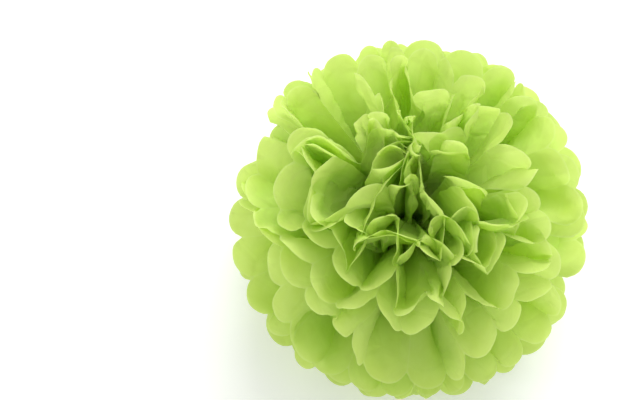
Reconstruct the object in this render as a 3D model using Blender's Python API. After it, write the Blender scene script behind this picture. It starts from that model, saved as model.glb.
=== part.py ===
"""Tissue paper pom pom, as opened from its folded pack and set down on its lower petals.

Twelve tissue sheets are folded together into one accordion, tied at the middle
with ribbon and cut round at both ends. Opened, each sheet makes two half fans
that meet at the tie, and each pair of half fans is lifted to its own slope. The
bottom sheet turns out where it meets the floor. Each sheet is a thin closed
solid with its folds as flat facets. Metres, +Z up, the tie on the Z axis, the
sheets' length along Y at the tie and the seam between the half fans along X.
"""

from math import cos, pi, radians, sin, sqrt

import bmesh
import bpy
from mathutils import Matrix, Vector

SHEETS = 12
PLEATS = 14
SHEET_WIDTH = 0.500  # flat, across the pleats
SHEET_LENGTH = 0.306  # flat, tip to tip through the tie
SHEET_THICKNESS = 0.0003  # stands in for paper and the air in its crumples
TIP_SAG = 0.0110  # how far the round cut falls back from a petal's tip to its folds
TIP_SEGMENTS = 4  # straight edges round each petal's tip

TIE_HEIGHT = 0.100  # middle of the tie above the floor
WAIST_HALF_WIDTH = 0.006  # gathered paper inside the tie, along X
WAIST_HALF_LENGTH = 0.004  # from the tie's middle to where the sheets start to open
SHEET_PITCH = 0.0012  # from one sheet to the next inside the tie

TOP_LIFT = radians(86)  # slope of the uppermost sheet
LOW_LIFT = radians(-34)  # slope of the lowest free sheet
FOOT_LIFT = radians(-68)  # slope of the bottom sheet before it turns out on the floor
FOOT_ROLL = 0.003  # over which the bottom sheet turns out
FAN_OVERRUN = radians(1.2)  # how far each half fan opens past a half turn, to close the seam
BEND_LENGTH = 0.021  # over which a sheet turns from the tie to its slope
ROWS = (0.004, 0.012, 0.025, 0.050, 0.098)  # distances from the tie with a row of vertices
FOLD_RISE = 0.40  # how fast the folds open with distance from the waist
FOLD_RUN = 0.050  # distance over which they open more slowly
FOLD_SHARE = 0.50  # deepest fold, as a share of its distance from the Z axis

RIBBON_WIDTH = 0.006
RIBBON_THICKNESS = 0.0004
RIBBON_GAP = 0.0008  # clear space between the ribbon and the gathered paper
BAND_CORNER = 0.002  # radius of the band's corners
BAND_CORNER_SEGMENTS = 4
KNOT_SIZE = Vector((0.0060, 0.0050, 0.0070))
TAIL_LENGTH = 0.022  # from the knot's middle
TAIL_WIDTH = 0.0058
TAIL_ANGLE = radians(24)  # each tail's slope, one up and one down

TISSUE_COLOUR = (0.42, 0.68, 0.10, 1.0)
RIBBON_COLOUR = (0.86, 0.86, 0.84, 1.0)
TISSUE_ROUGHNESS = 0.85
RIBBON_ROUGHNESS = 0.35

PLEAT_WIDTH = SHEET_WIDTH / PLEATS
FOLD_LENGTH = SHEET_LENGTH / 2 - TIP_SAG
FLAT_SLOPE = 1e-6  # below this a sheet is treated as level


def clear_scene():
    for thing in list(bpy.data.objects):
        bpy.data.objects.remove(thing, do_unlink=True)


def make_material(name, colour, roughness):
    material = bpy.data.materials.new(name)
    material.use_nodes = True
    shader = material.node_tree.nodes["Principled BSDF"]
    shader.inputs["Base Color"].default_value = colour
    shader.inputs["Roughness"].default_value = roughness
    shader.inputs["Metallic"].default_value = 0.0
    material.diffuse_color = colour
    return material


def add_object(name, bm, material):
    bmesh.ops.recalc_face_normals(bm, faces=bm.faces)
    mesh = bpy.data.meshes.new(name)
    bm.to_mesh(mesh)
    bm.free()
    mesh.materials.append(material)
    thing = bpy.data.objects.new(name, mesh)
    bpy.context.collection.objects.link(thing)
    return thing


def sheet_level(number):
    """Height of a sheet inside the tie."""
    return TIE_HEIGHT + SHEET_PITCH * ((SHEETS + 1) / 2 - number)


def sheet_lift(number):
    """Slopes fall evenly from the uppermost sheet to the lowest free one. The bottom sheet has its own."""
    if number == SHEETS:
        return FOOT_LIFT
    return TOP_LIFT + (LOW_LIFT - TOP_LIFT) * (number - 1) / (SHEETS - 2)


def floor_distance(level, lift):
    """How far along a falling sheet its middle surface comes within half its thickness of the floor."""
    drop = level - SHEET_THICKNESS / 2
    bend_drop = BEND_LENGTH / abs(lift) * (1 - cos(lift))
    return WAIST_HALF_LENGTH + BEND_LENGTH + (drop - bend_drop) / sin(abs(lift))


def slope_profile(distance, lift):
    """Way out, height and slope at this distance along a sheet that turns evenly to its lift and then runs straight."""
    run = distance - WAIST_HALF_LENGTH
    bend = min(run, BEND_LENGTH)
    slope = lift * bend / BEND_LENGTH
    if abs(slope) < FLAT_SLOPE:
        return run, 0.0, 0.0
    radius = BEND_LENGTH / lift
    straight = run - bend
    out = radius * sin(slope) + straight * cos(slope)
    height = radius * (1 - cos(slope)) + straight * sin(slope)
    return out, height, slope


def fold_depth(distance, out):
    """Half the height of the zigzag, which keeps each pleat at its flat width as the fan opens."""
    pitch = min(PLEAT_WIDTH, (pi * out + 2 * WAIST_HALF_WIDTH) / PLEATS)
    full = sqrt(PLEAT_WIDTH**2 - pitch**2) / 2
    opened = FOLD_RISE * (distance - WAIST_HALF_LENGTH) * min(1, distance / FOLD_RUN)
    return min(full, opened, FOLD_SHARE * out)


def fold_point(fold, distance, side, level, lift):
    """A point on a fold line of one half fan: up on even folds, down on odd ones, and level on the floor."""
    angle = (pi + 2 * FAN_OVERRUN) * fold / PLEATS - FAN_OVERRUN
    away = Vector((cos(angle), side * sin(angle), 0))
    start = Vector((WAIST_HALF_WIDTH * cos(angle), side * WAIST_HALF_LENGTH, level))
    turn = floor_distance(level, lift) if lift == FOOT_LIFT else SHEET_LENGTH
    out, height, slope = slope_profile(min(distance, turn), lift)
    if distance >= turn:
        return start + away * (out + distance - turn) + Vector((0, 0, height))
    depth = fold_depth(distance, out) * (1 if fold % 2 == 0 else -1)
    normal = Vector((0, 0, cos(slope))) - away * sin(slope)
    return start + away * out + Vector((0, 0, height)) + normal * depth


def tip_points(left, right, left_end, right_end, length):
    """The round end of one petal, from the ends of its two folds to the tip between them."""
    points = []
    for step in range(1, TIP_SEGMENTS):
        share = step / TIP_SEGMENTS
        reach = TIP_SAG * (1 - (2 * share - 1) ** 2)
        base = left.lerp(right, share)
        end = left_end.lerp(right_end, share)
        points.append(end + (end - base) * (reach / length))
    return points


def half_fan(bm, side, level, lift):
    """Faces of one half fan. Returns its row of vertices at the tie."""
    distances = ROWS
    if lift == FOOT_LIFT:
        turn = floor_distance(level, lift)
        distances = (*ROWS[:-1], turn, turn + FOOT_ROLL)
    rows = [
        [
            bm.verts.new(fold_point(fold, distance, side, level, lift))
            for fold in range(PLEATS + 1)
        ]
        for distance in (*distances, FOLD_LENGTH)
    ]
    for near, far in zip(rows[:-1], rows[1:-1]):
        for pleat in range(PLEATS):
            bm.faces.new((near[pleat], near[pleat + 1], far[pleat + 1], far[pleat]))
    last, ends = rows[-2:]
    for pleat in range(PLEATS):
        pair = (last[pleat], last[pleat + 1], ends[pleat], ends[pleat + 1])
        tips = tip_points(*(v.co for v in pair), FOLD_LENGTH - distances[-1])
        tips = [bm.verts.new(point) for point in tips]
        bm.faces.new((pair[0], pair[1], pair[3], *reversed(tips), pair[2]))
    return rows[0]


def make_sheet(number, material):
    """One sheet: two half fans joined through the tie. Number 1 is the uppermost."""
    bm = bmesh.new()
    level = sheet_level(number)
    lift = sheet_lift(number)
    front = half_fan(bm, 1, level, lift)
    back = half_fan(bm, -1, level, lift)
    for pleat in range(PLEATS):
        bm.faces.new((back[pleat], back[pleat + 1], front[pleat + 1], front[pleat]))
    bmesh.ops.triangulate(bm, faces=bm.faces, quad_method="FIXED")
    thing = add_object(f"sheet_{number:02d}", bm, material)
    shell = thing.modifiers.new("thickness", "SOLIDIFY")
    shell.thickness = SHEET_THICKNESS
    shell.offset = 0
    return thing


def band_outline(grow):
    """Rounded rectangle in the XZ plane round the gathered paper, this much larger than the ribbon's inside."""
    half_x = WAIST_HALF_WIDTH + RIBBON_GAP + grow
    half_z = (sheet_level(1) - sheet_level(SHEETS) + SHEET_THICKNESS) / 2 + RIBBON_GAP + grow
    corner = BAND_CORNER + grow
    points = []
    for quarter, (sign_x, sign_z) in enumerate(((1, 1), (-1, 1), (-1, -1), (1, -1))):
        centre = Vector((sign_x * (half_x - corner), 0, sign_z * (half_z - corner)))
        for step in range(BAND_CORNER_SEGMENTS + 1):
            angle = pi / 2 * (quarter + step / BAND_CORNER_SEGMENTS)
            points.append(centre + Vector((cos(angle), 0, sin(angle))) * corner)
    return points, half_x


def ribbon_band():
    """The ribbon's turn round the gathered paper, and how far out it reaches along X."""
    bm = bmesh.new()
    rings = []
    for grow in (0, RIBBON_THICKNESS):
        points, reach = band_outline(grow)
        for side in (-1, 1):
            shift = Vector((0, side * RIBBON_WIDTH / 2, TIE_HEIGHT))
            rings.append([bm.verts.new(point + shift) for point in points])
    inner_back, inner_front, outer_back, outer_front = rings
    around = (
        (inner_back, inner_front),
        (inner_front, outer_front),
        (outer_front, outer_back),
        (outer_back, inner_back),
    )
    for one, other in around:
        for i in range(len(one)):
            j = (i + 1) % len(one)
            bm.faces.new((one[i], one[j], other[j], other[i]))
    return bm, reach


def ribbon_knot(centre):
    bm = bmesh.new()
    bmesh.ops.create_icosphere(bm, subdivisions=2, radius=0.5)
    bmesh.ops.scale(bm, vec=KNOT_SIZE, verts=bm.verts)
    bmesh.ops.translate(bm, vec=centre, verts=bm.verts)
    return bm


def ribbon_tail(centre, angle):
    """A short end of ribbon that stands on edge in the seam."""
    bm = bmesh.new()
    bmesh.ops.create_cube(bm, size=1)
    bmesh.ops.scale(bm, vec=(TAIL_LENGTH, RIBBON_THICKNESS, TAIL_WIDTH), verts=bm.verts)
    bmesh.ops.translate(bm, vec=(TAIL_LENGTH / 2, 0, 0), verts=bm.verts)
    bmesh.ops.rotate(bm, matrix=Matrix.Rotation(-angle, 3, "Y"), verts=bm.verts)
    bmesh.ops.translate(bm, vec=centre, verts=bm.verts)
    return bm


def join_to(thing, bm, name):
    """Unites a loose solid with the object, which stays one closed body."""
    cutter = add_object(name, bm, thing.data.materials[0])
    cutter.hide_render = True
    cutter.display_type = "WIRE"
    union = thing.modifiers.new(name, "BOOLEAN")
    union.operation = "UNION"
    union.solver = "EXACT"
    union.object = cutter


def make_ribbon(material):
    """One length of ribbon: the band round the paper, its knot and two short tails."""
    band, reach = ribbon_band()
    thing = add_object("ribbon_tie", band, material)
    centre = Vector((reach + KNOT_SIZE.x * 0.3, 0, TIE_HEIGHT))
    join_to(thing, ribbon_knot(centre), "knot")
    join_to(thing, ribbon_tail(centre, TAIL_ANGLE), "upper_tail")
    join_to(thing, ribbon_tail(centre, -TAIL_ANGLE), "lower_tail")
    return thing


clear_scene()
tissue = make_material("lime_tissue", TISSUE_COLOUR, TISSUE_ROUGHNESS)
satin = make_material("white_satin", RIBBON_COLOUR, RIBBON_ROUGHNESS)
for number in range(1, SHEETS + 1):
    make_sheet(number, tissue)
make_ribbon(satin)
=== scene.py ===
# %% [markdown]
# # Tissue paper pom pom
# The real thing is a stack of tissue sheets, folded together into one
# accordion, tied at the middle with ribbon and cut round at both ends. Pulled
# apart sheet by sheet, the two fans on either side of the tie become a ball of
# thin round petals.
#
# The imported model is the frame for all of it. It says how many sheets there
# are, where the tie sits and where the floor lies, so it is loaded first, and
# every new piece is built straight into its place.

# %% Load the frame
from math import cos, pi, radians, sin

import bpy
import numpy as np
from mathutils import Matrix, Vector
from mathutils.bvhtree import BVHTree


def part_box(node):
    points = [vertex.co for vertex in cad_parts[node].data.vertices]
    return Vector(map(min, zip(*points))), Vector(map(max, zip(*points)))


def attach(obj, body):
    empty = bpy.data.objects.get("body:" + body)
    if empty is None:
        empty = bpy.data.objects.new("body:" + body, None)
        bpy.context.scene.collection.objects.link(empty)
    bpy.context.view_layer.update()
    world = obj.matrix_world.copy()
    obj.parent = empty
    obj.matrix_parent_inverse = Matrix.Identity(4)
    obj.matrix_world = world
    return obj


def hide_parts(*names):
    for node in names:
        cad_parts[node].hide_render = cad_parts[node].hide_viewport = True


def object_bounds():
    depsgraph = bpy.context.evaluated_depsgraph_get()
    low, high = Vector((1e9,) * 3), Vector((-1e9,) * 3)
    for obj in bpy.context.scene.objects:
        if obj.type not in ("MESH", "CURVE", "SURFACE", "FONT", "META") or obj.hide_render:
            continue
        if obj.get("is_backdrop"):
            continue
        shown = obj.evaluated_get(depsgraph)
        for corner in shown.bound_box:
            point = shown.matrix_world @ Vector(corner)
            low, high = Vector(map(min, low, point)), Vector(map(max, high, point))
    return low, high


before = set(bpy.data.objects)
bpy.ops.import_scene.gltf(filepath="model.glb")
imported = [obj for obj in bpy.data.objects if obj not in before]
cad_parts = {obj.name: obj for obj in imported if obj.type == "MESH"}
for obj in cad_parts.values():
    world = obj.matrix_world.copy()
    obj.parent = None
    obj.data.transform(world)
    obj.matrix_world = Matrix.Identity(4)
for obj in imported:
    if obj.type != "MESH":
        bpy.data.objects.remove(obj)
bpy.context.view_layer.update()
sheet_nodes = sorted(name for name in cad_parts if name.startswith("sheet_"))
SHEETS = len(sheet_nodes)
band_low, band_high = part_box("ribbon_tie")
tie_height = (band_low[2] + band_high[2]) / 2
print("sheets", SHEETS, "and the tie at", round(tie_height, 4), "m")

# %% [markdown]
# ## The pattern
# A maker starts from a pattern, and so does the model. Every sheet is cut from
# the same rectangle with fourteen pleats across it, and both ends are trimmed
# to an arc through all the layers at once, which is what makes the petals
# round. Everything else is worked out from these few sizes, in metres.

# %% Name the pattern's sizes
PLEATS = 14
SHEET_WIDTH = 0.500
SHEET_LENGTH = 0.306
TIP_SAG = 0.0110  # how far the round tip of a pleat stands past its sides
PLEAT_WIDTH = SHEET_WIDTH / PLEATS
PETAL_LENGTH = SHEET_LENGTH / 2

# %% [markdown]
# The tie gathers the stack to a small waist. The paper leaves it level and
# bends within about two centimetres to the slope that the maker pulled it to:
# the first sheet almost straight up, the last one down to the floor.

# %% Name the sizes at the tie
WAIST_HALF_WIDTH = 0.006
WAIST_HALF_LENGTH = 0.004
SHEET_PITCH = 0.0012
BEND_LENGTH = 0.021
TOP_LIFT = 88.5  # degrees above level
LOW_LIFT = -34.0
FOOT_LIFT = -58.0
DROOP = -8.0  # how far a petal's outer half leans over

# %% [markdown]
# ## The grid of one half fan
# Each sheet becomes one fine grid, so that it stays a single sheet of paper
# with folds in it. Working out the flat sheet first, before any folding, gives
# two things at once: the lengths that paper has to keep whatever shape it
# takes, and a UV map in metres for the material.

# %% Lay out the flat half sheet
ACROSS = 10  # grid squares across one pleat
ALONG = 36  # grid squares from the tie to a tip
TIP_ZONE = 0.4  # share of the length over which rows bend into the round end

columns = PLEATS * ACROSS + 1
pleat = np.arange(columns) / ACROSS
pleat_of = np.minimum(pleat.astype(int), PLEATS - 1)
share = pleat - pleat_of
on_fold = np.arange(columns) % ACROSS == 0
run_length = PETAL_LENGTH - WAIST_HALF_LENGTH
arc = TIP_SAG * (1 - np.sqrt(np.maximum(1 - (2 * share - 1) ** 2, 0)))
steps = np.linspace(0, 1, ALONG + 1)
round_off = np.clip((steps - 1 + TIP_ZONE) / TIP_ZONE, 0, 1)
flat_y = WAIST_HALF_LENGTH + steps[:, None] * run_length - round_off[:, None] * arc
flat_x = pleat * PLEAT_WIDTH + 0 * flat_y
print("grid of a half fan", flat_y.shape)

# %% [markdown]
# ## Soft random relief
# No petal of a real pom pom matches the next. Plain random numbers would give
# jagged noise, so most of the unevenness comes from a sum of a few sine waves
# with random headings. It is smooth, and a fixed seed gives the same waves on
# every run.

# %% Two helpers for smooth change
UNEVEN_LENGTHS = (0.7, 1.5)  # the shortest and longest wave, as shares of the wavelength asked for
TINY = 1e-9  # keeps a division by a length from failing


def ripple(rng, x, y, wavelength, waves=7):
    """Uneven waves of about this length, mostly between -1 and 1."""
    total = np.zeros(np.broadcast(x, y).shape)
    for _ in range(waves):
        heading = rng.uniform(0, 2 * pi)
        phase = rng.uniform(0, 2 * pi)
        step = 2 * pi / (wavelength * rng.uniform(*UNEVEN_LENGTHS))
        total += np.sin(step * (x * cos(heading) + y * sin(heading)) + phase)
    return total / np.sqrt(waves)


def ease(x):
    """A smooth step from 0 to 1."""
    x = np.clip(x, 0, 1)
    return x * x * (3 - 2 * x)


# %% [markdown]
# ## Fold lines
# A pleated fan can be drawn from its fold lines alone. Each fold leaves the
# tie, bends to its own slope and runs out to the rim, a little aside and a
# little drooped. Sheets that lie together also lean together, which opens the
# dark gaps between one bunch of petals and the next, so one slow wave runs
# through all the sheets of a side.

# %% Slope and direction of the folds
SLOPE_WAVES = 6.0  # degrees, as are the other angles here
SLOPE_JITTER = 3.2
SLOPE_SPAN = 8  # folds from one wave of the slope to the next
BUNCH_LEAN = (4.5, 7.0)  # on the back and the front fans
DROOP_START = 0.055  # metres from the tie
DROOP_GROWTH = 1.6  # above 1, most of the droop comes near the tip
DROOP_WAVES = 9.0
DROOP_SPAN = 5
SWAY = 4.0
SWAY_SPAN = 4
CROWN_CURL = 24.0
CROWN_FROM = 68.0  # the lift at which petals begin to curl in
CROWN_SPAN = 10.0
folds = np.arange(PLEATS + 1.0)


def fold_slopes(rng, lift, wild, past_tie):
    """How steeply each fold runs, at these distances past the tie; the steepest curl in over the crown."""
    curl = CROWN_CURL * ease((lift - CROWN_FROM) / CROWN_SPAN)
    uneven = SLOPE_WAVES * ripple(rng, folds, 0, SLOPE_SPAN) + SLOPE_JITTER * rng.normal(0, 1, PLEATS + 1)
    lifts = np.radians(lift + wild * uneven)
    droop = np.radians(DROOP + curl + DROOP_WAVES * wild * ripple(rng, folds, 0, DROOP_SPAN))
    late = np.clip((past_tie - DROOP_START) / (PETAL_LENGTH - DROOP_START), 0, 1)
    return lifts * ease(past_tie / BEND_LENGTH) + droop * late**DROOP_GROWTH


def fold_headings(rng, angles, wild, past_tie):
    """Which way each fold points, seen from above."""
    sway = np.radians(SWAY * wild * ripple(rng, folds, 0, SWAY_SPAN))
    return angles + sway * ease(past_tie / PETAL_LENGTH)


# %% [markdown]
# Neighbouring folds stand alternately above and below the fan. How far follows
# from the paper itself: a pleat keeps its width, so where the folds run close
# together the pleat has to stand up between them, and where the fan is wide
# open it lies nearly flat.

# %% Raise and lower the folds
FOLD_RISE_LENGTH = 0.050  # over this length from the tie the folds rise to their full height
FOOT_CLEARANCE = 0.015  # the foot's folds turn level at this height, and their pleats reach the floor
ROOM = 0.85  # a fold stays within this share of its distance from the tie
LEAST_ROOM = 0.0004  # and may always stand this far out


def zigzag(middle, past_tie, out):
    """Height of each fold above the fan's middle surface."""
    chord = np.linalg.norm(np.diff(middle, axis=1), axis=-1)
    height = np.sqrt(np.maximum(PLEAT_WIDTH**2 - chord**2, 0)) * ease(past_tie / FOLD_RISE_LENGTH)
    signs = np.where(np.arange(PLEATS) % 2 == 0, -1.0, 1.0)
    start = np.zeros((len(past_tie), 1))
    offset = np.concatenate([start, np.cumsum(height * signs, axis=1)], axis=1)
    offset -= offset.mean(axis=1, keepdims=True)
    place = folds - PLEATS / 2
    offset -= (offset * place).sum(axis=1, keepdims=True) / (place**2).sum() * place
    limit = ROOM * out + LEAST_ROOM
    return limit * np.tanh(offset / limit)


def fold_lines(rng, angles, side, level, lift, wild):
    """Points of every fold of one half fan, from the tie outwards."""
    distance = WAIST_HALF_LENGTH + steps * run_length
    past_tie = (distance - WAIST_HALF_LENGTH)[:, None]
    slope = fold_slopes(rng, lift, wild, past_tie)
    heading = fold_headings(rng, angles, wild, past_tie)
    step = np.diff(distance, prepend=distance[0])[:, None]
    sinking = level + np.cumsum(np.sin(slope) * step, axis=0)
    slope = np.where(sinking < FOOT_CLEARANCE, 0, slope)
    out = np.cumsum(np.cos(slope) * step, axis=0)
    rise = np.cumsum(np.sin(slope) * step, axis=0)
    away = np.stack([np.cos(heading), side * np.sin(heading), 0 * heading], -1)
    up = np.array([0, 0, 1.0])
    start = np.stack(
        [WAIST_HALF_WIDTH * np.cos(angles), side * WAIST_HALF_LENGTH + 0 * angles, level + 0 * angles],
        -1,
    )
    middle = start + away * out[..., None] + up * rise[..., None]
    normal = up * np.cos(slope)[..., None] - away * np.sin(slope)[..., None]
    return middle + normal * zigzag(middle, past_tie, np.abs(out) + np.abs(rise))[..., None]


# %% [markdown]
# ## Paper between the folds
# With the folds in place the paper is stretched from one to the next like the
# cloth of an umbrella. Each pleat then gets a belly of its own, hollow or
# full, and a gentle ruffle that grows towards the rim, where tissue is free.

# %% Fill one half fan
BELLY = 0.0024
BELLY_BIAS = 0.6  # more pleats are full than hollow
CRINKLE = 0.0010
CRINKLE_LENGTH = 0.030
GROW_FROM = 0.02  # where bellies and crinkles set in
RUFFLE = 0.0045
RUFFLE_LENGTH = 0.060
RUFFLE_FROM = 0.07
GROW_OVER = 0.08  # and the length over which each grows to its full size


def half_fan(rng, angles, side, level, lift, wild):
    """Points of one half fan on the grid, from the tie outwards."""
    lines = fold_lines(rng, angles, side, level, lift, wild)
    place = (flat_y - WAIST_HALF_LENGTH) / run_length * ALONG
    low = np.clip(np.floor(place).astype(int), 0, ALONG - 1)
    part = (place - low)[..., None]
    left, right = (
        lines[low, fold] * (1 - part) + lines[low + 1, fold] * part for fold in (pleat_of, pleat_of + 1)
    )
    points = left + (right - left) * share[:, None]
    face = np.cross(right - left, np.gradient(points, axis=0)) * -side
    face /= np.maximum(np.linalg.norm(face, axis=-1, keepdims=True), TINY)
    grow = ease((flat_y - GROW_FROM) / GROW_OVER)
    late = ease((flat_y - RUFFLE_FROM) / GROW_OVER)
    fullness = rng.normal(BELLY_BIAS, 1.0, PLEATS)[pleat_of]
    bulge = BELLY * fullness * 4 * share * (1 - share) * grow
    bulge += CRINKLE * wild * ripple(rng, flat_x, flat_y, CRINKLE_LENGTH) * grow
    bulge += RUFFLE * wild * ripple(rng, flat_x, flat_y, RUFFLE_LENGTH) * late
    return points + face * bulge[..., None]


# %% [markdown]
# ## Fanning out the whole stack
# The sheets are lifted one after the other, from the top one down. The share
# of the half circle that a pleat takes drifts slowly from sheet to sheet,
# because each sheet lies on the one below it. The seam between the two fans
# wanders too, so no straight slit shows. The first sheets are crumpled
# most: they are the ones that fingers pull on hardest.

# %% Draw every half fan
SHARE_DRIFT = 0.16  # how far a pleat's share may drift from one sheet to the next
SHARE_LIMITS = (0.60, 1.40)
LEAN_SPAN = 9  # folds from one wave of the lean to the next
LEAN_STRIDE = 1.6  # folds that the lean shifts from one sheet to the next
SEAM_SPAN = 5  # sheets from one wander of the seam to the next
LEAN_SEED, SEAM_SEED, SHEET_SEED = 30, 40, 100
SEAM_MARGIN = 1.0  # degrees that a fan keeps from the seam
SEAM_WANDER = 7.0  # degrees that the seam wanders to either side from sheet to sheet
CROWDING = {1: 0.75, -1: 1.2}  # the back fans open at once, and more of the front ones stand steeply
CROWN_SHARE = 3.0  # of the sheets, the top one in this many leans
CROWN_LEAN = 11.0  # the crown leans this many degrees to the front
CRUMPLED = {1: 2.4, 2: 2.2, 3: 1.9, 4: 1.6, 5: 1.3}  # how much wilder the top sheets are
BACK_CRUMPLE = 0.5  # share of that extra wildness on the back
BACK_AND_FRONT = (1, -1)  # the side of each half fan along Y, in the order of the stack


def fold_angles(shares, seam):
    """Directions of the folds round one half fan, from each pleat's share of it and the seam's two ends."""
    first, last = np.radians([SEAM_MARGIN + seam[0], 180 - SEAM_MARGIN - seam[1]])
    return first + (last - first) * np.concatenate([[0], np.cumsum(shares)]) / shares.sum()


def sheet_lift(number, side):
    """The slope that a sheet is pulled to, in degrees."""
    if number == SHEETS:
        return FOOT_LIFT
    down = (number - 1) / (SHEETS - 2)
    lean = side * CROWN_LEAN * (1 - ease(CROWN_SHARE * down))
    return TOP_LIFT + (LOW_LIFT - TOP_LIFT) * down ** CROWDING[side] + lean


def fan_out():
    """Every half fan of the stack: sheet, side, row, column, and x, y, z."""
    stack = np.zeros((SHEETS, 2, ALONG + 1, columns, 3))
    numbers = np.arange(1.0, SHEETS + 1)[:, None]
    leans = []
    seams = []
    for which in (0, 1):
        lean_rng = np.random.default_rng(LEAN_SEED + which)
        seam_rng = np.random.default_rng(SEAM_SEED + which)
        leans.append(BUNCH_LEAN[which] * ripple(lean_rng, folds, LEAN_STRIDE * numbers, LEAN_SPAN))
        seams.append(SEAM_WANDER * ripple(seam_rng, numbers[:, 0], 0, SEAM_SPAN))
    seams = np.stack(seams)
    shares = np.ones((2, PLEATS))
    for number in range(1, SHEETS + 1):
        rng = np.random.default_rng(SHEET_SEED + number)
        level = tie_height + SHEET_PITCH * ((SHEETS + 1) / 2 - number)
        wild = CRUMPLED.get(number, 1.0)
        for which, side in enumerate(BACK_AND_FRONT):
            tamed = wild if side < 0 else 1 + (wild - 1) * BACK_CRUMPLE
            shares[which] = np.clip(shares[which] + rng.normal(0, SHARE_DRIFT, PLEATS), *SHARE_LIMITS)
            lift = sheet_lift(number, side) + leans[which][number - 1] * (number < SHEETS)
            angles = fold_angles(shares[which], side * seams[:, number - 1])
            stack[number - 1, which] = half_fan(rng, angles, side, level, lift, tamed)
    return stack


fans = fan_out()
print("half fans", fans.shape[0] * fans.shape[1])

# %% [markdown]
# ## Letting the paper settle
# Paper bends but doesn't stretch. Blender's Cloth is one way to settle sheets,
# but here twelve of them press on each other at one waist, so a short
# relaxation of the same kind does it, in seconds: every edge of the grid is
# pulled back towards the length it had on the flat sheet, and the first rows
# stay where the tie holds them. Paper resists stretch much more than it
# resists buckling, so edges that are too short are let off lightly.

# %% Keep the paper's lengths
EDGES = ((0, 1), (1, 0), (1, 1), (1, -1))  # along a row, down a column and both diagonals
SLACK = 0.35  # how much of a too short edge is put right in one turn
SMOOTHING = 0.12


def ends(grid, down, over, start):
    """Both ends of one family of edges, every second one, as views into the grid."""
    if not down:
        return grid[..., start:-1:2, :], grid[..., start + 1::2, :]
    wide = grid.shape[-2]
    one = grid[..., start:-1:2, max(0, -over): wide - max(0, over), :]
    other = grid[..., start + 1::2, max(0, over): wide - max(0, -over), :]
    return one, other


def flat_lengths(down, over, start):
    """The lengths of those edges on the flat sheet."""
    one, other = ends(np.stack([flat_x, flat_y], -1), down, over, start)
    return np.linalg.norm(other - one, axis=-1)


families = [
    (down, over, start, flat_lengths(down, over, start)) for down, over in EDGES for start in (0, 1)
]


def pull_edges(points):
    for down, over, start, wanted in families:
        one, other = ends(points, down, over, start)
        gap = other - one
        length = np.sqrt((gap * gap).sum(-1))
        off = (length - wanted) / np.maximum(length, TINY)
        gap *= (np.where(off < 0, off * SLACK, off) * 0.5)[..., None]
        one += gap
        other -= gap


def relax(points, turns, smoothing=SMOOTHING):
    """Pulls the paper back to its own lengths and takes out kinks, except across a fold."""
    held = points[:, :, :2].copy()
    across = np.where(on_fold[1:-1], 0, smoothing)[:, None]
    for _ in range(turns):
        pull_edges(points)
        points[:, :, 1:-1] += smoothing * ((points[:, :, 2:] + points[:, :, :-2]) / 2 - points[:, :, 1:-1])
        bend = (points[:, :, :, 2:] + points[:, :, :, :-2]) / 2 - points[:, :, :, 1:-1]
        points[:, :, :, 1:-1] += across * bend
        points[:, :, :2] = held


# %% [markdown]
# Two sheets can't share a place either. Walking round the pom pom from the
# front foot over the top to the back foot, each half fan has one neighbour
# before it and one behind. Where a point has gone through its neighbour, or
# comes closer than the gap, both are moved apart along the neighbour's normal.

# %% Keep the sheets apart
SHEET_GAP = 0.0008
SEARCH = 0.006  # how far away a neighbour is looked for
HELD_ROWS = 3  # rows at the tie that no neighbour moves
UPWARD = (-1, 1)  # turns a grid face's normal upwards, on the back and the front fans


def grid_faces(rows, wide):
    corner = np.arange(rows * wide).reshape(rows, wide)
    faces = [corner[:-1, :-1], corner[:-1, 1:], corner[1:, 1:], corner[1:, :-1]]
    return np.stack(faces, -1).reshape(-1, 4).tolist()


faces_of_half = grid_faces(ALONG + 1, columns)
neighbours = [(side, n, side, n + 1, 1) for side in (0, 1) for n in range(SHEETS - 1)]
neighbours += [(side, n + 1, side, n, -1) for side in (0, 1) for n in range(SHEETS - 1)]
neighbours += [(0, 0, 1, 0, 1), (1, 0, 0, 0, 1)]


def push_off(place, tree, outward):
    """How far a point has to move to stand clear of the sheet in this tree."""
    near, normal, _, _ = tree.find_nearest(place, SEARCH)
    if near is None:
        return None
    normal *= outward
    depth = normal.dot(Vector(place) - near)
    return normal * (SHEET_GAP - depth) * 0.5 if depth < SHEET_GAP else None


def part_sheets(points):
    """Moves sheets off their neighbours, and counts the points moved."""
    moved = 0
    for side, number, other_side, other, sign in neighbours:
        tree = BVHTree.FromPolygons(points[other, other_side].reshape(-1, 3).tolist(), faces_of_half)
        free = points[number, side, HELD_ROWS:]
        shift = np.zeros((free.shape[0] * free.shape[1], 3))
        for i, place in enumerate(free.reshape(-1, 3).tolist()):
            push = push_off(place, tree, sign * UPWARD[other_side])
            if push is not None:
                shift[i] = push
                moved += 1
        free += shift.reshape(free.shape)
    return moved


# %% Settle the stack
PASSES = 6
TURNS = 12
LAST_TURNS = 8
LAST_SMOOTHING = 0.25
for _ in range(PASSES):
    relax(fans, TURNS)
    moved = part_sheets(fans)
relax(fans, LAST_TURNS, smoothing=LAST_SMOOTHING)
print("points still pushed apart in the last pass", moved)

# %% [markdown]
# The foot of the pom pom stands on the floor. A petal that would go through it
# turns out along it instead, over a few millimetres. The tissue keeps what
# handling left in it: fine crinkles all over, and a few sharper creases.

# %% Stand on the floor
FLOOR_GAP = 0.0006
TURN_OUT = 0.004
FINE_CRINKLE = 0.00028
FINE_LENGTH = 0.016
CREASE = 0.0019
CREASE_LENGTH = 0.044
CREASE_LEVEL = 0.7  # a crease is a valley, and the paper beside it stands this much up
MARKS_FROM = 0.03  # the marks set in at this distance from the middle
MARKS_OVER = 0.05  # and are full after this much more
MARKS_SEED = 5
NO_AREA = 1e-12


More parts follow.
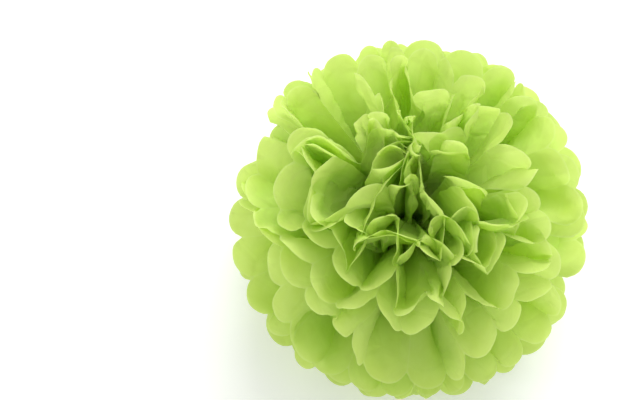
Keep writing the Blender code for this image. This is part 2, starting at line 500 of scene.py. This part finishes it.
def rest_on_floor(points):
    height = points[..., 2]
    bend = FLOOR_GAP + TURN_OUT
    below = np.minimum(height, bend)
    points[..., 2] = np.where(height > bend, height, FLOOR_GAP + TURN_OUT * np.exp((below - bend) / TURN_OUT))


def surface_normals(points):
    across = np.gradient(points, axis=-2)
    along = np.gradient(points, axis=-3)
    normal = np.cross(across, along)
    return normal / np.maximum(np.linalg.norm(normal, axis=-1, keepdims=True), NO_AREA)


def handling_marks(rng):
    """Fine crinkles all over, and a few sharp creases where the paper was bent and let go."""
    fine = FINE_CRINKLE * ripple(rng, flat_x, flat_y, FINE_LENGTH, waves=12)
    creases = CREASE * (CREASE_LEVEL - np.abs(ripple(rng, flat_x, flat_y, CREASE_LENGTH, waves=3)))
    return (fine + creases) * ease((flat_y - MARKS_FROM) / MARKS_OVER)


marks_rng = np.random.default_rng(MARKS_SEED)
marks = [handling_marks(marks_rng) for _ in range(2 * SHEETS)]
fans += surface_normals(fans) * np.reshape(marks, fans.shape[:-1])[..., None]
rest_on_floor(fans)
print("lowest point", round(float(fans[..., 2].min()), 4), "m")

# %% [markdown]
# ## The tissue's finish
# Dyed tissue is thin enough for light to come through, so a petal with others
# behind it is darker and one against the light glows. A Translucent shader
# mixed into a matt one does this. The detail is what handling leaves: cloudy
# fibres and a network of fine creases. A paler line along each sharp fold and
# cut edge is a painted highlight, where ridges and thin edges catch the light.
# A node group makes the uneven relief, because the ribbon's material uses the
# same group at another scale.

# %% A group for uneven relief
CLOUD_DETAIL = 5.0
CLOUD_ROUGHNESS = 0.6
CREASE_SHARE = 0.10  # how far into each patch its creased edge reaches, in patches


def uneven_relief_group():
    group = bpy.data.node_groups.new("uneven_relief", "ShaderNodeTree")
    for name, kind, default in (("Place", "NodeSocketVector", None), ("Scale", "NodeSocketFloat", 50.0)):
        socket = group.interface.new_socket(name=name, in_out="INPUT", socket_type=kind)
        if default is not None:
            socket.default_value = default
    for name in ("Tone", "Height"):
        group.interface.new_socket(name=name, in_out="OUTPUT", socket_type="NodeSocketFloat")
    nodes, links = group.nodes, group.links
    inside = nodes.new("NodeGroupInput")
    outside = nodes.new("NodeGroupOutput")
    cloud = nodes.new("ShaderNodeTexNoise")
    cloud.inputs["Detail"].default_value = CLOUD_DETAIL
    cloud.inputs["Roughness"].default_value = CLOUD_ROUGHNESS
    creases = nodes.new("ShaderNodeTexVoronoi")
    creases.feature = "DISTANCE_TO_EDGE"
    sharp = nodes.new("ShaderNodeMapRange")
    sharp.inputs["From Max"].default_value = CREASE_SHARE
    total = nodes.new("ShaderNodeMath")
    total.operation = "ADD"
    for texture in (cloud, creases):
        links.new(inside.outputs["Place"], texture.inputs["Vector"])
        links.new(inside.outputs["Scale"], texture.inputs["Scale"])
    links.new(creases.outputs["Distance"], sharp.inputs["Value"])
    links.new(cloud.outputs["Fac"], total.inputs[0])
    links.new(sharp.outputs["Result"], total.inputs[1])
    links.new(cloud.outputs["Fac"], outside.inputs["Tone"])
    links.new(total.outputs["Value"], outside.inputs["Height"])
    return group


relief_group = uneven_relief_group()
group_outputs = [item.name for item in relief_group.interface.items_tree if item.in_out == "OUTPUT"]
print("group outputs", group_outputs)

# %% [markdown]
# The helpers below keep the wiring readable: one adds a node and sets its
# inputs, one mixes two colours and one uses the relief group. The painted
# highlight line needs to know where the folds and edges are, so each sheet
# carries that as a value on its points.

# %% Helpers for wiring a material
# Painted highlight: this value marks the folds and cut edges that are coloured paler
HIGHLIGHT_LINE = "painted_highlight_line"  # the name of the value on the points: 1 on a fold or a cut edge


def add_node(tree, kind, settings=(), **inputs):
    node = tree.nodes.new(kind)
    for name, value in dict(settings).items():
        setattr(node, name, value)
    for name, value in inputs.items():
        socket = node.inputs[name.replace("_", " ")]
        if isinstance(value, bpy.types.NodeSocket):
            tree.links.new(value, socket)
        else:
            socket.default_value = value
    return node


def mixed_colour(tree, factor, one, other):
    """The colour between these two; factor is a socket."""
    mix = tree.nodes.new("ShaderNodeMix")
    mix.data_type = "RGBA"
    tree.links.new(factor, mix.inputs["Factor"])
    sockets = [s for s in mix.inputs if s.type == "RGBA"]
    for socket, value in zip(sockets, (one, other)):
        if isinstance(value, bpy.types.NodeSocket):
            tree.links.new(value, socket)
        else:
            socket.default_value = value
    return next(s for s in mix.outputs if s.type == "RGBA")


def relief(tree, place, scale):
    node = tree.nodes.new("ShaderNodeGroup")
    node.node_tree = relief_group
    tree.links.new(place, node.inputs["Place"])
    node.inputs["Scale"].default_value = scale
    return node


# %% Tissue paper
LIME = (0.74, 0.895, 0.27, 1)
DEEP_LIME = (0.68, 0.835, 0.20, 1)
# Painted highlight colour, mixed in along folds and cut edges
HIGHLIGHT_LIME = (0.84, 0.94, 0.46, 1)
SEE_THROUGH = 0.55  # share of the light that goes through
CLOUD_SCALE = 28.0  # patches in a metre of paper
FIBRE_SCALE = 260.0
PAPER_ROUGHNESS = 0.85
PAPER_SHINE = 0.18


def tissue_material():
    material = bpy.data.materials.new("lime_tissue_paper")
    material.use_nodes = True
    tree = material.node_tree
    tree.nodes.clear()
    flat = add_node(tree, "ShaderNodeTexCoord").outputs["UV"]
    clouds = relief(tree, flat, CLOUD_SCALE)
    fibres = relief(tree, flat, FIBRE_SCALE)
    line = add_node(tree, "ShaderNodeAttribute", {"attribute_name": HIGHLIGHT_LINE}).outputs["Fac"]
    contrast = add_node(tree, "ShaderNodeMapRange", Value=clouds.outputs["Tone"], From_Min=0.3, From_Max=0.7)
    colour = mixed_colour(tree, contrast.outputs["Result"], DEEP_LIME, LIME)
    # Painted highlight: folds and cut edges are mixed towards the paler lime
    faint = add_node(tree, "ShaderNodeMapRange", Value=line, From_Min=0.5, From_Max=1.0, To_Max=0.35)
    colour = mixed_colour(tree, faint.outputs["Result"], colour, HIGHLIGHT_LIME)
    creased = add_node(
        tree,
        "ShaderNodeBump",
        Height=clouds.outputs["Height"],
        Strength=0.5,
        Distance=0.0012,
    )
    fibrous = add_node(
        tree,
        "ShaderNodeBump",
        Height=fibres.outputs["Tone"],
        Normal=creased.outputs["Normal"],
        Strength=0.25,
        Distance=0.0002,
    )
    paper = add_node(tree, "ShaderNodeBsdfPrincipled", Base_Color=colour, Normal=fibrous.outputs["Normal"])
    paper.inputs["Roughness"].default_value = PAPER_ROUGHNESS
    paper.inputs["Specular IOR Level"].default_value = PAPER_SHINE
    through = add_node(tree, "ShaderNodeBsdfTranslucent", Color=colour, Normal=fibrous.outputs["Normal"])
    both = tree.nodes.new("ShaderNodeMixShader")
    both.inputs["Fac"].default_value = SEE_THROUGH
    tree.links.new(paper.outputs["BSDF"], both.inputs[1])
    tree.links.new(through.outputs["BSDF"], both.inputs[2])
    output = tree.nodes.new("ShaderNodeOutputMaterial")
    tree.links.new(both.outputs["Shader"], output.inputs["Surface"])
    return material


tissue = tissue_material()
print("tissue nodes", len(tissue.node_tree.nodes))

# %% [markdown]
# ## Building the sheets
# A grid primitive is already one clean sheet of squares, with a UV map. Each
# of its points is sent to the place that the settled fan gives it, and the UV
# map gets the flat sheet's own metres, so the creases follow the paper through
# every fold. Only edges sharper than a soft bend are shaded as folds.

# %% Put one grid into shape
FOLD_ANGLE = 35  # degrees
# The painted highlight spans this band at a cut edge, and each fold takes this share of it
EDGE_BAND = 0.004
FOLD_HIGHLIGHT = 0.7
UV_SHIFT = 0.61  # each sheet takes its own piece of the crease pattern


def sheet_values(number):
    """Places, flat positions and painted highlight lines of one whole sheet, from its front edge to its back.
    """
    back, front = fans[number - 1]
    points = np.concatenate([front[::-1], back])
    flat = np.stack([np.concatenate([flat_x, flat_x]), np.concatenate([-flat_y[::-1], flat_y])], -1)
    from_edge = (flat_y[-1] - flat_y) / EDGE_BAND
    from_side = np.minimum(flat_x, SHEET_WIDTH - flat_x) / EDGE_BAND
    # Painted highlight: 1 at a cut edge, fading over the band, and a share of it on every fold
    line = np.clip(1 - np.minimum(from_edge, from_side), 0, 1)
    line = np.maximum(line, FOLD_HIGHLIGHT * on_fold)
    return points, flat, np.concatenate([line[::-1], line])


def new_grid(name, rows, wide):
    """A grid primitive, with the row and column of each of its points."""
    bpy.ops.object.select_all(action="DESELECT")
    bpy.ops.mesh.primitive_grid_add(x_subdivisions=wide - 1, y_subdivisions=rows - 1, size=1)
    piece = bpy.context.object
    piece.name = name
    spots = np.empty(len(piece.data.vertices) * 3)
    piece.data.vertices.foreach_get("co", spots)
    spots = spots.reshape(-1, 3)[:, :2] + 0.5
    column, row = np.rint(spots * (wide - 1, rows - 1)).astype(int).T
    return piece, row, column


def shape_grid(piece, row, column, points, flat):
    mesh = piece.data
    mesh.vertices.foreach_set("co", points[row, column].ravel())
    corner = np.empty(len(mesh.loops), int)
    mesh.loops.foreach_get("vertex_index", corner)
    mesh.uv_layers.active.data.foreach_set("uv", flat[row[corner], column[corner]].ravel())
    mesh.update()


def make_sheet(number):
    points, flat, line = sheet_values(number)
    piece, row, column = new_grid(f"tissue_{number:02d}", *line.shape)
    shape_grid(piece, row, column, points, flat + (0, UV_SHIFT * number))
    value = piece.data.attributes.new(HIGHLIGHT_LINE, "FLOAT", "POINT")
    value.data.foreach_set("value", line[row, column])
    piece.data.materials.append(tissue)
    bpy.ops.object.shade_smooth_by_angle(angle=radians(FOLD_ANGLE))
    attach(piece, "root")
    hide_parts(f"sheet_{number:02d}")
    return piece


sheets = [make_sheet(number) for number in range(1, SHEETS + 1)]
print("sheets made", len(sheets), "of", len(sheets[0].data.polygons), "squares each")

# %% [markdown]
# ## The ribbon
# One narrow satin ribbon goes once round the waist, is knotted at the side and
# leaves two short tails. Petals hide nearly all of it. It is made as one strip
# along a path, like the real one: in by the upper tail, round the waist, and
# out by the lower tail, pinched where the knot grips it. A second short strip
# is the turn of the knot itself.

# %% Path of the ribbon
RIBBON_WIDTH = 0.006
RIBBON_GAP = 0.0008
RIBBON_THICKNESS = 0.0003
TAIL_LENGTH = 0.022
TAIL_ANGLE = radians(24)
LOOP_STEPS = 48
TAIL_STEPS = 12
KNOT_PINCH = 0.5
KNOT_OPENING = 0.12  # radians of the loop that the knot covers on either side of it
KNOT_OUT = 0.0012  # how far outside the loop the knot sits
KNOT_DEPTH = 0.0024  # half sizes of the knot's own turn
KNOT_HEIGHT = 0.0031
KNOT_SHIFT = 0.0022  # from there to the middle of its turn
KNOT_STEPS = 25
SQUARENESS = 0.45  # 1 is an oval, less is squarer
TAIL_START = 0.1  # share of the tail that the knot hides
TAIL_CURL = 0.0020
TAIL_CURL_TURN = 3  # radians

half_x = WAIST_HALF_WIDTH + 2 * RIBBON_GAP
half_z = SHEET_PITCH * (SHEETS - 1) / 2 + 2 * RIBBON_GAP
knot_x = half_x + KNOT_OUT


def waist_loop():
    """Points round the waist, in the XZ plane, from the knot and back to it."""
    turn = np.linspace(KNOT_OPENING, 2 * pi - KNOT_OPENING, LOOP_STEPS)
    x = half_x * np.sign(np.cos(turn)) * np.abs(np.cos(turn)) ** SQUARENESS
    z = half_z * np.sign(np.sin(turn)) * np.abs(np.sin(turn)) ** SQUARENESS
    return np.stack([x, 0 * x, z + tie_height], -1)


def tail(slope):
    """Points from the knot to the end of a tail that curls a little aside."""
    along = np.linspace(TAIL_START, 1, TAIL_STEPS)
    x = knot_x + TAIL_LENGTH * along * cos(slope)
    y = TAIL_CURL * np.sin(along * TAIL_CURL_TURN) * np.sign(slope)
    z = tie_height + TAIL_LENGTH * along * sin(slope)
    return np.stack([x, y, z], -1)


ribbon_path = np.concatenate([tail(TAIL_ANGLE)[::-1], waist_loop(), tail(-TAIL_ANGLE)])
turns = np.linspace(0, 2 * pi, KNOT_STEPS)
knot_path = np.stack(
    [
        knot_x + KNOT_SHIFT + KNOT_DEPTH * np.cos(turns),
        0 * turns,
        tie_height + KNOT_HEIGHT * np.sin(turns),
    ],
    -1,
)


def path_length(path):
    return float(np.linalg.norm(np.diff(path, axis=0), axis=1).sum())


print("ribbon", round(path_length(ribbon_path) + path_length(knot_path), 3), "m long")

# %% [markdown]
# Satin shines along its threads, so its colour is pale and its finish smooth,
# with a sheen. The threads themselves are ribs a fifth of a millimetre wide,
# made by a Wave texture on the ribbon's own UV map.

# %% Satin
SATIN = (0.86, 0.86, 0.84, 1)
SATIN_SHADE = (0.74, 0.74, 0.71, 1)
THREAD_SCALE = 800.0
SLUB_SCALE = 300.0
SATIN_ROUGHNESS = 0.32
SATIN_SHEEN = 0.35


def satin_material():
    material = bpy.data.materials.new("white_satin_ribbon")
    material.use_nodes = True
    tree = material.node_tree
    paint = tree.nodes["Principled BSDF"]
    flat = add_node(tree, "ShaderNodeTexCoord").outputs["UV"]
    threads = add_node(tree, "ShaderNodeTexWave", Vector=flat, Scale=THREAD_SCALE, Distortion=1.5)
    slubs = relief(tree, flat, SLUB_SCALE)
    colour = mixed_colour(tree, slubs.outputs["Tone"], SATIN_SHADE, SATIN)
    ribs = add_node(
        tree,
        "ShaderNodeBump",
        Height=threads.outputs["Fac"],
        Strength=0.3,
        Distance=0.0001,
    )
    tree.links.new(colour, paint.inputs["Base Color"])
    tree.links.new(ribs.outputs["Normal"], paint.inputs["Normal"])
    paint.inputs["Roughness"].default_value = SATIN_ROUGHNESS
    paint.inputs["Sheen Weight"].default_value = SATIN_SHEEN
    return material


satin = satin_material()
print("satin nodes", len(satin.node_tree.nodes))

# %% Sweep the strips
RIBBON_ACROSS = 8
FLUTE = 0.0005  # how deep the gathered ribbon's flutes are
GRIP = 0.003  # metres from the knot over which it gathers the ribbon
GRIP_HEIGHT = 0.004
KNOT_TIGHTNESS = 0.6


def strip_points(path, width, tightness):
    """Points of a strip along the path, its width across Y; tightness gathers it into flutes."""
    across = np.linspace(-0.5, 0.5, RIBBON_ACROSS + 1)
    forward = np.gradient(path, axis=0)
    forward /= np.linalg.norm(forward, axis=1, keepdims=True)
    outward = np.cross(forward, (0, 1.0, 0))
    squeeze = (1 - (1 - KNOT_PINCH) * tightness)[:, None]
    flute = FLUTE * tightness[:, None] * np.cos(4 * pi * across)
    return (
        path[:, None]
        + np.array([0, 1.0, 0]) * (across * width * squeeze)[..., None]
        + outward[:, None] * flute[..., None]
    )


def make_strip(name, path, tightness):
    points = strip_points(path, RIBBON_WIDTH, tightness)
    length = np.concatenate([[0], np.cumsum(np.linalg.norm(np.diff(path, axis=0), axis=1))])
    across = np.linspace(0, RIBBON_WIDTH, RIBBON_ACROSS + 1)
    flat = np.stack(np.broadcast_arrays(length[:, None], across), -1)
    piece, row, column = new_grid(name, *points.shape[:2])
    shape_grid(piece, row, column, points, flat)
    piece.data.materials.append(satin)
    wall = piece.modifiers.new("thickness", "SOLIDIFY")
    wall.thickness = RIBBON_THICKNESS
    wall.offset = 0
    bpy.ops.object.modifier_apply(modifier=wall.name)
    bpy.ops.object.shade_smooth_by_angle(angle=radians(FOLD_ANGLE))
    return piece


level_with_knot = np.abs(ribbon_path[:, 2] - tie_height) < GRIP_HEIGHT
near_knot = np.exp(-((ribbon_path[:, 0] - knot_x) / GRIP) ** 2) * level_with_knot
ribbon = make_strip("satin_ribbon", ribbon_path, near_knot)
knot_turn = make_strip("satin_knot_turn", knot_path, np.full(len(knot_path), KNOT_TIGHTNESS))
bpy.ops.object.select_all(action="DESELECT")
for piece in (knot_turn, ribbon):
    piece.select_set(True)
bpy.context.view_layer.objects.active = ribbon
bpy.ops.object.join()
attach(ribbon, "root")
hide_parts("ribbon_tie")
print("ribbon faces", len(ribbon.data.polygons))

# %% [markdown]
# ## Floor and light
# The pom pom stands on a plain pale floor. Tissue shows itself best in very
# soft light, so an even white world does most of the work. One broad lamp high
# behind the pom pom brightens the upper petals and shines through their rims.

# %% Set the stage
CAMERA_AZIMUTH = radians(17)
CAMERA_ELEVATION = radians(66)
FLOOR_SIZE = 6
FLOOR_GREY = (0.94, 0.94, 0.94, 1)
FLOOR_ROUGHNESS = 0.9
FLOOR_GLOW = 0.2  # keeps the shadow faint
WHITE = (1, 1, 1, 1)
WORLD_STRENGTH = 0.78
LAMP_BEHIND, LAMP_RIGHT, LAMP_HEIGHT = 1.15, 0.35, 1.3
LAMP_SIZE = 1.5
LAMP_POWER = 26

forward_level = Vector((-sin(CAMERA_AZIMUTH), cos(CAMERA_AZIMUTH), 0))
right_level = Vector((cos(CAMERA_AZIMUTH), sin(CAMERA_AZIMUTH), 0))

bpy.ops.mesh.primitive_plane_add(size=FLOOR_SIZE, location=(0, 0, 0))
floor = bpy.context.object
floor.name = "floor"
floor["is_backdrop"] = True
pale = bpy.data.materials.new("pale_floor")
pale.use_nodes = True
coat = pale.node_tree.nodes["Principled BSDF"]
coat.inputs["Base Color"].default_value = FLOOR_GREY
coat.inputs["Roughness"].default_value = FLOOR_ROUGHNESS
coat.inputs["Emission Color"].default_value = WHITE
coat.inputs["Emission Strength"].default_value = FLOOR_GLOW
floor.data.materials.append(pale)

world = bpy.data.worlds.new("studio")
world.use_nodes = True
sky = world.node_tree.nodes["Background"]
sky.inputs["Color"].default_value = WHITE
sky.inputs["Strength"].default_value = WORLD_STRENGTH
bpy.context.scene.world = world


def area_light(name, place, size, power):
    bpy.ops.object.light_add(type="AREA", location=place)
    light = bpy.context.object
    light.name = name
    light.data.size = size
    light.data.energy = power
    aim = Vector((0, 0, tie_height)) - place
    light.rotation_euler = aim.to_track_quat("-Z", "Y").to_euler()


lamp_place = forward_level * LAMP_BEHIND + right_level * LAMP_RIGHT + Vector((0, 0, LAMP_HEIGHT))
area_light("high_lamp", lamp_place, LAMP_SIZE, LAMP_POWER)
print("floor, world and one lamp")

# %% [markdown]
# ## Camera
# The camera looks down steeply from the front, a little round to the right, so
# that the seam between the front and back fans runs down to the right. A long
# lens keeps the ball round. The camera is shifted and not turned, which puts
# the pom pom beside the middle of the picture and still shows it the same way.

# %% Place the camera
PICTURE_SHARE = 0.562  # the pom pom's width as a share of the picture's
AIM_RIGHT = 0.143  # where its middle goes, as shares of the picture's width
AIM_DOWN = 0.0136
LENS = 85

camera_data = bpy.data.cameras.new("camera")
camera = bpy.data.objects.new("camera", camera_data)
bpy.context.collection.objects.link(camera)
camera_data.lens = LENS
low, high = (Vector(corner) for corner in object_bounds())
picture_width = (high.x - low.x) / PICTURE_SHARE
to_camera = -forward_level * cos(CAMERA_ELEVATION) + Vector((0, 0, sin(CAMERA_ELEVATION)))
distance = picture_width * camera_data.lens / camera_data.sensor_width
camera.location = (low + high) / 2 + to_camera * distance
camera.rotation_euler = (-to_camera).to_track_quat("-Z", "Y").to_euler()
picture_up = right_level.cross(-to_camera).normalized()
camera.location += (picture_up * AIM_DOWN - right_level * AIM_RIGHT) * picture_width
bpy.context.scene.camera = camera
bpy.context.scene.view_settings.view_transform = "Standard"
print("camera", [round(value, 3) for value in camera.location])
